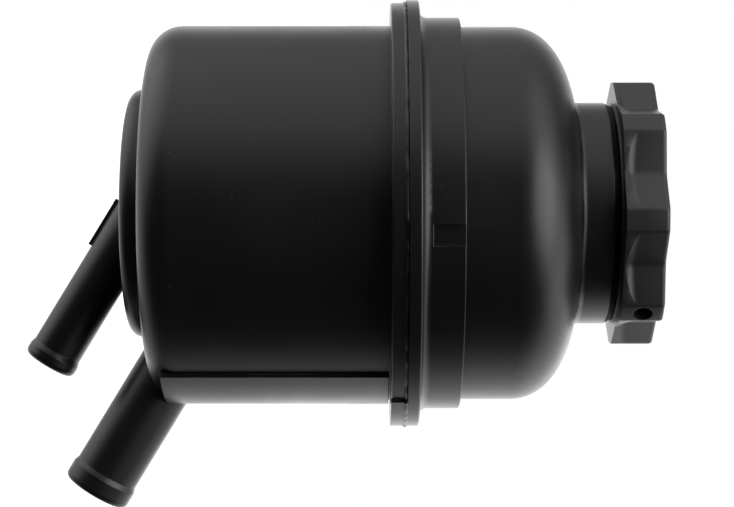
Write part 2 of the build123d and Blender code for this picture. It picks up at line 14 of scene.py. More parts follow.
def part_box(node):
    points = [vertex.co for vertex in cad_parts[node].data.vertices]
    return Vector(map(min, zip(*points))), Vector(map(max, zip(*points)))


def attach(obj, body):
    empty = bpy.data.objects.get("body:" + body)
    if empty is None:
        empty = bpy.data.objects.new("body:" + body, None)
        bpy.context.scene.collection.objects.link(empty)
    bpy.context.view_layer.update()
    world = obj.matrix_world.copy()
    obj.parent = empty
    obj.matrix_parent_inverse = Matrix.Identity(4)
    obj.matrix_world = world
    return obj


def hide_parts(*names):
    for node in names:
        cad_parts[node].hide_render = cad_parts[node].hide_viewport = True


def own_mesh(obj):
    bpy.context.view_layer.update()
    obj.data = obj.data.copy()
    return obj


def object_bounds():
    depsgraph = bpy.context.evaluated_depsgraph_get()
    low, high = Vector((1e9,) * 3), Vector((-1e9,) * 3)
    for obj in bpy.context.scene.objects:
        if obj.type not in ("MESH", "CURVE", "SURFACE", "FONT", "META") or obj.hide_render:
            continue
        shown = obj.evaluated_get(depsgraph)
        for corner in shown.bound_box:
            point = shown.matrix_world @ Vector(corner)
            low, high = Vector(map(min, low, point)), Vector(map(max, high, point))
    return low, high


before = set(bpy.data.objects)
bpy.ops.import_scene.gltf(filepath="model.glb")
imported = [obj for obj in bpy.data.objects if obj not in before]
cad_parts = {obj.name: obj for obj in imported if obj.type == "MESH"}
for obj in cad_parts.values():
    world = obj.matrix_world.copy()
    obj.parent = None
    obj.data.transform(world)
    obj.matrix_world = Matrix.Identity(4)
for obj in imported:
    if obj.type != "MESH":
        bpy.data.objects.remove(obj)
CAD_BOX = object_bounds()
LOG = logging.getLogger("reservoir")

MM = 0.001
AXIS = Vector((0, 0, 1))
FULL_TURN = 2 * math.pi
NOISE_MIDDLE = 0.5
SMOOTH_BELOW = math.radians(35)

Mesh = bmesh.types.BMesh
Tree = bpy.types.NodeTree
Node = bpy.types.Node
Socket = bpy.types.NodeSocket
Sockets = bpy.types.bpy_prop_collection
Pair = tuple[float, float]
Triple = tuple[float, float, float]
Colour = tuple[float, float, float, float]
Value = Socket | Vector | float | tuple[float, ...]


class Slot(Enum):
    """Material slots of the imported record, one for each finish of the reservoir."""

    HOUSING = "housing_plastic"
    CAP = "cap_plastic"
    INSERT = "insert_plastic"
    INNER = "inner_plastic"
    SEAL = "seal_rubber"
    DIPSTICK = "dipstick_plastic"
    END_DISC = "end_disc_steel"
    PAPER = "filter_paper"
    SPRING = "spring_steel"


class Effect(Enum):
    """Surface effects that several finishes share, each one a node group."""

    GRAIN = "moulded_grain"
    EDGES = "rounded_edges_wear_and_painted_highlight"
    HAIRLINES = "handling_hairlines"
    SPECKS = "dust_specks"


def feed(tree: Tree, node: Node, inputs: dict[str | int, Value]) -> None:
    """Sets a node's inputs, or links those whose value is an output socket.

    Args:
        tree: Node tree of the node.
        node: The node.
        inputs: Values or output sockets, by the input's name or number.
    """
    for key, value in inputs.items():
        if isinstance(value, Socket):
            tree.links.new(value, node.inputs[key])
        else:
            node.inputs[key].default_value = value


def add_node(
    tree: Tree, kind: str, inputs: dict[str | int, Value] | None = None, **settings: object
) -> Node:
    """Adds a shader node, then sets its properties and its inputs.

    Args:
        tree: Node tree that gets the node.
        kind: Type of the node, without the leading ShaderNode.
        inputs: Values or output sockets for its inputs, by name or number.
        **settings: Properties of the node.

    Returns:
        The new node.
    """
    node = tree.nodes.new("ShaderNode" + kind)
    for name, value in settings.items():
        setattr(node, name, value)
    feed(tree, node, inputs or {})
    return node


def ramp(
    tree: Tree, value: Socket, low: float, high: float, bottom: float = 0.0, top: float = 1.0
) -> Socket:
    """Smooth step of a value from one range to another.

    Args:
        tree: Node tree that gets the node.
        value: Output socket to read.
        low: Value that gives bottom.
        high: Value that gives top.
        bottom: Result at the low value.
        top: Result at the high value.

    Returns:
        The result's output socket.
    """
    step = {"Value": value, "From Min": low, "From Max": high, "To Min": bottom, "To Max": top}
    return add_node(tree, "MapRange", step, interpolation_type="SMOOTHSTEP").outputs["Result"]


def maths(
    tree: Tree, operation: str, first: Value, second: Value = 0.0, **settings: object
) -> Socket:
    """Joins two values by one operation and returns the output socket."""
    return add_node(tree, "Math", {0: first, 1: second}, operation=operation, **settings).outputs[0]


def noise(
    tree: Tree, vector: Socket, scale: Value, detail: float = 2.0, **inputs: float
) -> Socket:
    """Adds a noise texture.

    Args:
        tree: Node tree that gets the node.
        vector: Output socket with the coordinates.
        scale: Scale of the noise.
        detail: Number of finer layers.
        **inputs: Values for its other inputs.

    Returns:
        The value's output socket.
    """
    places = {"Vector": vector, "Scale": scale, "Detail": detail, **inputs}
    return add_node(tree, "TexNoise", places).outputs["Fac"]


def bump(tree: Tree, height: Socket, relief: float, normal: Socket | None = None) -> Socket:
    """Turns a height into a shading normal.

    Args:
        tree: Node tree that gets the node.
        height: Output socket with the height.
        relief: Size of one unit of that height, in metres.
        normal: Shading normal that the relief lies on, or None for the surface's own.

    Returns:
        The normal's output socket.
    """
    inputs = {"Height": height, "Strength": 1.0, "Distance": relief}
    if normal is not None:
        inputs["Normal"] = normal
    return add_node(tree, "Bump", inputs).outputs["Normal"]


def blend_colours(tree: Tree, mask: Socket, first: Value, second: Value) -> Socket:
    """Mixes two colours by a mask and returns the colour's output socket."""
    return add_node(tree, "Mix", {0: mask, 6: first, 7: second}, data_type="RGBA").outputs[2]


def grey(level: float, warmth: float = 0.0) -> Colour:
    """A grey of that linear level, a little warm or, below zero, a little blue."""
    return (level * (1 + warmth), level, level * (1 - warmth), 1.0)


class EffectLibrary:
    """Builds each shared effect once and places it in the materials that use it.

    Attributes:
        plain_edge: Cosine between rounded and flat normal above which an edge gets neither wear nor
            the painted highlight.
        full_wear_and_highlight_edge: Cosine below which an edge is scuffed through and carries the
            full painted highlight.
        wear_and_highlight_patches: Noise values between which the edge wear and the painted
            highlight come in.
        line_runs: Turn and stretch of each run of scratches.
        line_patches: Noise values between which the scratches come in.
        bare_cells: Share of the cells that have no speck.
    """

    grain_detail: float = 3.0
    flow_detail: float = 4.0
    flow_distortion: float = 0.6
    edge_samples: int = 6
    plain_edge: float = 0.995
    full_wear_and_highlight_edge: float = 0.86
    wear_and_highlight_patches: Pair = (0.42, 0.62)
    line_detail: float = 1.0
    line_runs: tuple[tuple[Triple, Triple], ...] = (
        ((0.3, 0.2, 0.9), (1.0, 14.0, 1.0)),
        ((1.2, 0.5, 2.2), (1.0, 1.0, 18.0)),
    )
    line_patch_scale: float = 70.0
    line_patches: Pair = (0.57, 0.68)
    bare_cells: float = 0.82

    def __init__(self) -> None:
        """Starts with no group built."""
        self.groups: dict[Effect, Tree] = {}

    def place(self, tree: Tree, effect: Effect, inputs: dict[str, Value]) -> Sockets:
        """Places an effect in a material.

        Args:
            tree: Node tree of the material.
            effect: The effect to place.
            inputs: Values or sockets for the effect's inputs.

        Returns:
            The outputs of the group node.
        """
        if effect not in self.groups:
            builder = {
                Effect.GRAIN: self._grain,
                Effect.EDGES: self._edges,
                Effect.HAIRLINES: self._hairlines,
                Effect.SPECKS: self._specks,
            }[effect]
            self.groups[effect] = builder(effect.value)
        return add_node(tree, "Group", inputs, node_tree=self.groups[effect]).outputs

    @staticmethod
    def _start(
        name: str, inputs: dict[str, str], outputs: dict[str, str]
    ) -> tuple[Tree, Sockets, Sockets]:
        """Makes an empty group.

        Args:
            name: Name of the group.
            inputs: Type of each input socket, by name.
            outputs: Type of each output socket, by name.

        Returns:
            The group, the sockets that it reads from and the sockets that it feeds.
        """
        tree = bpy.data.node_groups.new(name, "ShaderNodeTree")
        for direction, sockets in (("INPUT", inputs), ("OUTPUT", outputs)):
            for label, kind in sockets.items():
                tree.interface.new_socket(label, in_out=direction, socket_type="NodeSocket" + kind)
        source = tree.nodes.new("NodeGroupInput").outputs
        target = tree.nodes.new("NodeGroupOutput").inputs
        return tree, source, target

    def _grain(self, name: str) -> Tree:
        """Fine satin grain as a height, and broad flow marks as a variation about zero.

        Args:
            name: Name of the group.

        Returns:
            The group.
        """
        tree, source, target = self._start(
            name,
            {"Vector": "Vector", "Grain Scale": "Float", "Flow Scale": "Float"},
            {"Height": "Float", "Variation": "Float"},
        )
        vector = source["Vector"]
        fine = noise(tree, vector, source["Grain Scale"], self.grain_detail)
        flow = noise(
            tree, vector, source["Flow Scale"], self.flow_detail, Distortion=self.flow_distortion
        )
        tree.links.new(fine, target["Height"])
        tree.links.new(maths(tree, "SUBTRACT", flow, NOISE_MIDDLE), target["Variation"])
        return tree

    def _edges(self, name: str) -> Tree:
        """Rounds sharp edges for the light, and masks edges for handling wear and for a painted
        edge highlight.

        Args:
            name: Name of the group.

        Returns:
            The group.
        """
        tree, source, target = self._start(
            name,
            {"Vector": "Vector", "Radius": "Float", "Breakup Scale": "Float"},
            {"Mask": "Float", "Normal": "Vector"},
        )
        radius = {"Radius": source["Radius"]}
        rounded = add_node(tree, "Bevel", radius, samples=self.edge_samples).outputs["Normal"]
        flat = add_node(tree, "NewGeometry").outputs["Normal"]
        meeting = add_node(tree, "VectorMath", {0: rounded, 1: flat}, operation="DOT_PRODUCT")
        # Mask of handling wear and of a painted highlight along sharp edges
        edge_wear_and_highlight = ramp(tree, meeting.outputs["Value"], self.plain_edge, self.full_wear_and_highlight_edge)
        breakup = noise(tree, source["Vector"], source["Breakup Scale"])
        patches = ramp(tree, breakup, *self.wear_and_highlight_patches)
        tree.links.new(maths(tree, "MULTIPLY", edge_wear_and_highlight, patches), target["Mask"])
        tree.links.new(rounded, target["Normal"])
        return tree

    def _hairlines(self, name: str) -> Tree:
        """Long thin scratches: level lines of a stretched noise, kept in a few patches.

        Args:
            name: Name of the group.

        Returns:
            The group.
        """
        tree, source, target = self._start(
            name,
            {"Vector": "Vector", "Scale": "Float", "Width": "Float"},
            {"Mask": "Float"},
        )
        vector = source["Vector"]
        masks = []
        for turn, stretch in self.line_runs:
            placed = add_node(
                tree, "Mapping", {"Vector": vector, "Rotation": turn, "Scale": stretch}
            )
            field = noise(tree, placed.outputs["Vector"], source["Scale"], self.line_detail)
            away = maths(tree, "ABSOLUTE", maths(tree, "SUBTRACT", field, NOISE_MIDDLE))
            masks.append(maths(tree, "LESS_THAN", away, source["Width"]))
        both = maths(tree, "MAXIMUM", *masks)
        kept = ramp(tree, noise(tree, vector, self.line_patch_scale), *self.line_patches)
        tree.links.new(maths(tree, "MULTIPLY", both, kept), target["Mask"])
        return tree

    def _specks(self, name: str) -> Tree:
        """Sparse dust: small round dots in some of the cells of a cell pattern.

        Args:
            name: Name of the group.

        Returns:
            The group.
        """
        tree, source, target = self._start(
            name,
            {"Vector": "Vector", "Scale": "Float", "Size": "Float"},
            {"Mask": "Float"},
        )
        places = {"Vector": source["Vector"], "Scale": source["Scale"]}
        cells = add_node(tree, "TexVoronoi", places).outputs
        dots = maths(tree, "LESS_THAN", cells["Distance"], source["Size"])
        chosen = add_node(tree, "SeparateColor", {"Color": cells["Color"]})
        few = maths(tree, "GREATER_THAN", chosen.outputs[0], self.bare_cells)
        tree.links.new(maths(tree, "MULTIPLY", dots, few), target["Mask"])
        return tree


EFFECTS = EffectLibrary()


def new_material(name: str) -> tuple[bpy.types.Material, Tree, Node, Socket]:
    """Starts a material.

    Args:
        name: Name of the material.

    Returns:
        The material, its node tree, its Principled shader and the object coordinates' socket.
    """
    material = bpy.data.materials.new(name)
    material.use_nodes = True
    tree = material.node_tree
    shader = tree.nodes["Principled BSDF"]
    coords = add_node(tree, "TexCoord").outputs["Object"]
    return material, tree, shader, coords


@dataclass(frozen=True)
class MouldedPlastic:
    """Injection-moulded plastic: satin grain, flow marks, scuffed edges with a painted highlight,
    hairlines and dust.
    """

    name: str
    colour: Colour
    wear_and_highlight_colour: Colour
    roughness: float
    roughness_spread: float = 0.16
    specular: float = 0.5
    edge_radius: float = 0.25 * MM
    edge_share: float = 0.5
    breakup_scale: float = 260.0
    grain_scale: float = 5200.0
    grain_height: float = 0.012 * MM
    flow_scale: float = 45.0
    line_scale: float = 60.0
    line_width: float = 0.0016
    line_roughness: float = 0.14
    line_depth: float = 0.35
    speck_scale: float = 420.0
    speck_size: float = 0.07
    speck_share: float = 0.3
    dust_colour: Colour = grey(0.16, 0.06)

    def material(self) -> bpy.types.Material:
        """Lays the marks of use, and a painted highlight along sharp edges, over the moulded grain.

        Returns:
            The material.
        """
        material, tree, shader, coords = new_material(self.name)
        grain = EFFECTS.place(
            tree,
            Effect.GRAIN,
            {"Vector": coords, "Grain Scale": self.grain_scale, "Flow Scale": self.flow_scale},
        )
        edges = EFFECTS.place(
            tree,
            Effect.EDGES,
            {"Vector": coords, "Radius": self.edge_radius, "Breakup Scale": self.breakup_scale},
        )
        lines = EFFECTS.place(
            tree,
            Effect.HAIRLINES,
            {"Vector": coords, "Scale": self.line_scale, "Width": self.line_width},
        )["Mask"]
        specks = EFFECTS.place(
            tree,
            Effect.SPECKS,
            {"Vector": coords, "Scale": self.speck_scale, "Size": self.speck_size},
        )["Mask"]
        # Edge colour: part handling wear, part a painted highlight standing in for light caught on
        # the edges
        wear_and_highlight_share = maths(tree, "MULTIPLY", edges["Mask"], self.edge_share)
        colour = blend_colours(tree, wear_and_highlight_share, self.colour, self.wear_and_highlight_colour)
        dusty = maths(tree, "MULTIPLY", specks, self.speck_share)
        colour = blend_colours(tree, dusty, colour, self.dust_colour)
        rough = maths(tree, "MULTIPLY", grain["Variation"], self.roughness_spread)
        rough = maths(tree, "ADD", rough, self.roughness)
        scratched = maths(tree, "MULTIPLY", lines, self.line_roughness)
        rough = maths(tree, "ADD", rough, scratched, use_clamp=True)
        cut = maths(tree, "MULTIPLY", lines, -self.line_depth)
        height = maths(tree, "ADD", grain["Height"], cut)
        normal = bump(tree, height, self.grain_height, edges["Normal"])
        feed(tree, shader, {"Base Color": colour, "Roughness": rough, "Normal": normal})
        feed(tree, shader, {"Specular IOR Level": self.specular})
        return material


@dataclass(frozen=True)
class SealRubber:
    """Matt moulded rubber with a talc bloom in noise patches."""

    name: str = "nitrile_rubber"
    colour: Colour = (0.012, 0.012, 0.013, 1.0)
    bloom_colour: Colour = (0.07, 0.07, 0.068, 1.0)
    bloom_range: Pair = (0.02, 0.3)
    bloom_share: float = 0.35
    grain_scale: float = 3800.0
    grain_height: float = 0.03 * MM
    flow_scale: float = 160.0
    flow_range: Pair = (-0.3, 0.3)
    roughness: Pair = (0.62, 0.86)
    specular: float = 0.3

    def material(self) -> bpy.types.Material:
        """Lays the bloom over the rubber's grain.

        Returns:
            The material.
        """
        material, tree, shader, coords = new_material(self.name)
        grain = EFFECTS.place(
            tree,
            Effect.GRAIN,
            {"Vector": coords, "Grain Scale": self.grain_scale, "Flow Scale": self.flow_scale},
        )
        bloom = ramp(tree, grain["Variation"], *self.bloom_range, 0.0, self.bloom_share)
        colour = blend_colours(tree, bloom, self.colour, self.bloom_colour)
        rough = ramp(tree, grain["Variation"], *self.flow_range, *self.roughness)
        normal = bump(tree, grain["Height"], self.grain_height)
        feed(tree, shader, {"Base Color": colour, "Roughness": rough, "Normal": normal})
        feed(tree, shader, {"Specular IOR Level": self.specular})
        return material


@dataclass(frozen=True)
class PressedSteel:
    """Plated sheet or wire: drawing marks along the work, small bright and dull zones."""

    name: str
    colour: Colour
    dull_colour: Colour
    roughness: float = 0.3
    roughness_spread: float = 0.22
    stretch: Triple = (1.0, 1.0, 14.0)
    mark_scale: float = 900.0
    mark_detail: float = 4.0
    mark_height: float = 0.006 * MM
    grain_scale: float = 2600.0
    flow_scale: float = 120.0
    dull_range: Pair = (-0.12, 0.16)
    edge_radius: float = 0.2 * MM
    breakup_scale: float = 400.0

    def material(self) -> bpy.types.Material:
        """Lays dull zones and drawing marks on the bright metal.

        Returns:
            The material.
        """
        material, tree, shader, coords = new_material(self.name)
        drawn = add_node(tree, "Mapping", {"Vector": coords, "Scale": self.stretch})
        marks = noise(tree, drawn.outputs["Vector"], self.mark_scale, self.mark_detail)
        grain = EFFECTS.place(
            tree,
            Effect.GRAIN,
            {"Vector": coords, "Grain Scale": self.grain_scale, "Flow Scale": self.flow_scale},
        )
        edges = EFFECTS.place(
            tree,
            Effect.EDGES,
            {"Vector": coords, "Radius": self.edge_radius, "Breakup Scale": self.breakup_scale},
        )
        dull = ramp(tree, grain["Variation"], *self.dull_range)
        colour = blend_colours(tree, dull, self.colour, self.dull_colour)
        rough = maths(tree, "MULTIPLY", marks, self.roughness_spread)
        rough = maths(tree, "ADD", rough, self.roughness)
        normal = bump(tree, marks, self.mark_height, edges["Normal"])
        feed(tree, shader, {"Base Color": colour, "Roughness": rough, "Normal": normal})
        feed(tree, shader, {"Metallic": 1.0})
        return material


@dataclass(frozen=True)
class FilterPaper:
    """Resin-cured paper: fibres, fine crimp lines and amber patches."""

    name: str = "cured_paper"
    colour: Colour = (0.52, 0.36, 0.16, 1.0)
    patch_colour: Colour = (0.38, 0.23, 0.085, 1.0)
    patch_scale: float = 90.0
    patch_detail: float = 3.0
    patch_range: Pair = (0.4, 0.65)
    fibre_scale: float = 2400.0
    fibre_detail: float = 6.0
    fibre_sharpness: float = 0.7
    fibre_range: Pair = (0.3, 0.7)
    crimp_scale: float = 240.0
    crimp_distortion: float = 1.2
    crimp_detail: float = 1.0
    relief: float = 0.03 * MM
    roughness: Pair = (0.72, 0.9)
    specular: float = 0.35

    def material(self) -> bpy.types.Material:
        """Lays the crimp and the fibres over the patchy resin.

        Returns:
            The material.
        """
        material, tree, shader, coords = new_material(self.name)
        fibres = noise(
            tree, coords, self.fibre_scale, self.fibre_detail, Roughness=self.fibre_sharpness
        )
        waves = {
            "Vector": coords,
            "Scale": self.crimp_scale,
            "Distortion": self.crimp_distortion,
            "Detail": self.crimp_detail,
        }
        crimp = add_node(tree, "TexWave", waves, bands_direction="Z").outputs["Fac"]
        patches = noise(tree, coords, self.patch_scale, self.patch_detail)
        shade = ramp(tree, patches, *self.patch_range)
        colour = blend_colours(tree, shade, self.colour, self.patch_colour)
        rough = ramp(tree, fibres, *self.fibre_range, *self.roughness)
        normal = bump(tree, maths(tree, "ADD", fibres, crimp), self.relief)
        feed(tree, shader, {"Base Color": colour, "Roughness": rough, "Normal": normal})
        feed(tree, shader, {"Specular IOR Level": self.specular})
        return material


Finish = MouldedPlastic | SealRubber | PressedSteel | FilterPaper

FINISHES: dict[Slot, Finish] = {
    # Third value of each plastic: its edge colour, handling wear together with a painted edge
    # highlight
    Slot.HOUSING: MouldedPlastic("black_satin_shell", grey(0.0035), grey(0.13), 0.36),
    Slot.CAP: MouldedPlastic("black_satin_cap", grey(0.017), grey(0.12), 0.4, grain_scale=4200.0),
    Slot.INSERT: MouldedPlastic("black_plug", grey(0.011), grey(0.03), 0.45),
    Slot.INNER: MouldedPlastic(
        "natural_nylon", (0.52, 0.47, 0.36, 1.0), (0.62, 0.58, 0.48, 1.0), 0.48
    ),
    Slot.SEAL: SealRubber(),
    Slot.DIPSTICK: MouldedPlastic(
        "yellow_dipstick", (0.72, 0.43, 0.02, 1.0), (0.8, 0.55, 0.1, 1.0), 0.3
    ),
    Slot.END_DISC: PressedSteel("plated_end_disc", (0.6, 0.58, 0.52, 1.0), (0.5, 0.46, 0.36, 1.0)),
    Slot.PAPER: FilterPaper(),
    Slot.SPRING: PressedSteel("spring_wire", (0.42, 0.42, 0.43, 1.0), (0.3, 0.29, 0.28, 1.0), 0.25),
}


def written_mesh(shape: Mesh, name: str) -> bpy.types.Mesh:
    """Writes a shape to a new mesh.

    Args:
        shape: The shape. It is freed.
        name: Name of the mesh.

    Returns:
        The mesh.
    """
    mesh = bpy.data.meshes.new(name)
    shape.to_mesh(mesh)
    shape.free()
    return mesh


def placed_object(name: str, data: bpy.types.ID) -> bpy.types.Object:
    """Makes an object at the origin and links it to the scene.

    Args:
        name: Name of the object.
        data: Its mesh or its camera.

    Returns:
        The object.
    """
    made = bpy.data.objects.new(name, data)
    bpy.context.scene.collection.objects.link(made)
    return made


class Finisher:
    """Makes each finish's material once and gives it to CAD nodes and new pieces."""

    def __init__(self) -> None:
        """Starts with no material made."""
        self.materials: dict[Slot, bpy.types.Material] = {}

    def material(self, slot: Slot) -> bpy.types.Material:
        """Finds the material of a slot, which is made on first use.

        Args:
            slot: Slot that names the finish.

        Returns:
            The material.
        """
        if slot not in self.materials:
            self.materials[slot] = FINISHES[slot].material()
        return self.materials[slot]

    def dress_node(self, node: str, slot: Slot) -> None:
        """Gives a CAD node its finish.

        Args:
            node: Name of the CAD node.
            slot: Slot that names the finish.
        """
        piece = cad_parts[node]
        piece.data.materials.clear()
        piece.data.materials.append(self.material(slot))
        LOG.info("dressed %s with %s", node, slot.value)

    def make_piece(self, shape: Mesh, name: str, body: str, slot: Slot) -> bpy.types.Object:
        """Turns a finished shape into a piece of the object.

        Args:
            shape: The modelled shape, in metres and in place. It is freed.
            name: Name of the piece.
            body: CAD body that the piece moves with.
            slot: Slot that names the finish.

        Returns:
            The new object.
        """
        bmesh.ops.recalc_face_normals(shape, faces=shape.faces)
        mesh = written_mesh(shape, name)
        mesh.shade_smooth()
        mesh.set_sharp_from_angle(angle=SMOOTH_BELOW)
        mesh.materials.append(self.material(slot))
        piece = placed_object(name, mesh)
        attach(piece, body)
        LOG.info("made %s on %s with %d faces", name, body, len(mesh.polygons))
        return piece


def ring_profile(shape: Mesh, points: list[Pair]) -> list[bmesh.types.BMVert]:
    """Draws a closed half section in the plane through the axis.

    Args:
        shape: The bmesh to draw in.
        points: Radius and height of each corner, in metres.

    Returns:
        The corners.
    """
    corners = [shape.verts.new((radius, 0.0, height)) for radius, height in points]
    for first, second in zip(corners, corners[1:] + corners[:1]):
        shape.edges.new((first, second))
    return corners


def turn_once(shape: Mesh, corners: list[bmesh.types.BMVert], steps: int) -> None:
    """Turns a half section once about the axis into a closed ring.

    Args:
        shape: The bmesh, with nothing in it but the half section.
        corners: The half section's corners.
        steps: Number of steps in the turn.
    """
    bmesh.ops.spin(
        shape,
        geom=corners + shape.edges[:],
        cent=(0, 0, 0),
        axis=AXIS,
        angle=FULL_TURN,
        steps=steps,
        use_merge=True,
    )


@dataclass(frozen=True)
class ThreadForm:
    """A single-start screw ridge, given by its root, its crest and its pitch.

    Attributes:
        low: Height of the ridge's middle at its start.
        sink: How deep its foot goes into the wall.
        run_out: Share of a turn over which each end fades.
        measure_slack: Factor that keeps the foot's corners apart from the crest's.
    """

    root: float
    crest: float
    low: float
    turns: float
    pitch: float = 4.0 * MM
    foot_width: float = 2.0 * MM
    crest_width: float = 0.9 * MM
    sink: float = 0.2 * MM
    start_angle: float = 0.0
    steps_per_turn: int = 96
    run_out: float = 0.12
    measure_slack: float = 1.01

    def section(self) -> list[Pair]:
        """Half section of the ridge at its start.

        Returns:
            Radius and height of each corner. The first and the last are sunk in the wall.
        """
        sunk = self.root + math.copysign(self.sink, self.root - self.crest)
        foot, crest = self.foot_width / 2, self.crest_width / 2
        return [
            (sunk, self.low - foot),
            (self.root, self.low - foot),
            (self.crest, self.low - crest),
            (self.crest, self.low + crest),
            (self.root, self.low + foot),
            (sunk, self.low + foot),
        ]

    def shape(self) -> Mesh:
        """Spins the ridge's section up its helix and fades both its ends.

        Returns:
            The closed ridge.
        """
        shape = bmesh.new()
        corners = ring_profile(shape, self.section())
        steps = round(self.turns * self.steps_per_turn)
        bmesh.ops.spin(
            shape,
            geom=corners + shape.edges[:],
            cent=(0, 0, 0),
            axis=AXIS,
            dvec=AXIS * (self.pitch / self.steps_per_turn),
            angle=FULL_TURN * self.turns,
            steps=steps,
        )
        shape.verts.ensure_lookup_table()
        fade_steps = self.run_out * self.steps_per_turn
        for number, corner in enumerate(shape.verts):
            step = number // len(corners)
            share = min(1.0, (step + 0.5) / fade_steps, (steps - step + 0.5) / fade_steps)
            radius = corner.co.xy.length
            faded = self.root + (radius - self.root) * share
            # Only the crest fades: corners at the root and in the wall stay
            if abs(radius - self.root) > self.sink * self.measure_slack:
                corner.co.xy *= faded / radius
        ends = [edge for edge in shape.edges if edge.is_boundary]
        bmesh.ops.holes_fill(shape, edges=ends, sides=len(corners))
        placing = Matrix.Rotation(self.start_angle, 3, AXIS)
        bmesh.ops.rotate(shape, verts=shape.verts, matrix=placing)
        return shape


def cut_away(shape: Mesh, tool: Mesh) -> Mesh:
    """Cuts one closed form out of another.

    Args:
        shape: The form to cut. It is freed.
        tool: The form to take away. It is freed.

    Returns:
        The form that is left.
    """
    blanks = []
    for name, source in (("blank", shape), ("cutter", tool)):
        bmesh.ops.recalc_face_normals(source, faces=source.faces)
        blanks.append(placed_object(name, written_mesh(source, name)))
    body, cutter = blanks
    cut = body.modifiers.new("cut", "BOOLEAN")
    cut.object = cutter
    cut.operation = "DIFFERENCE"
    cut.solver = "EXACT"
    ready = body.evaluated_get(bpy.context.evaluated_depsgraph_get())
    result = bmesh.new()
    result.from_mesh(ready.to_mesh())
    ready.to_mesh_clear()
    for blank in blanks:
        mesh = blank.data
        bpy.data.objects.remove(blank)
        bpy.data.meshes.remove(mesh)
    return result


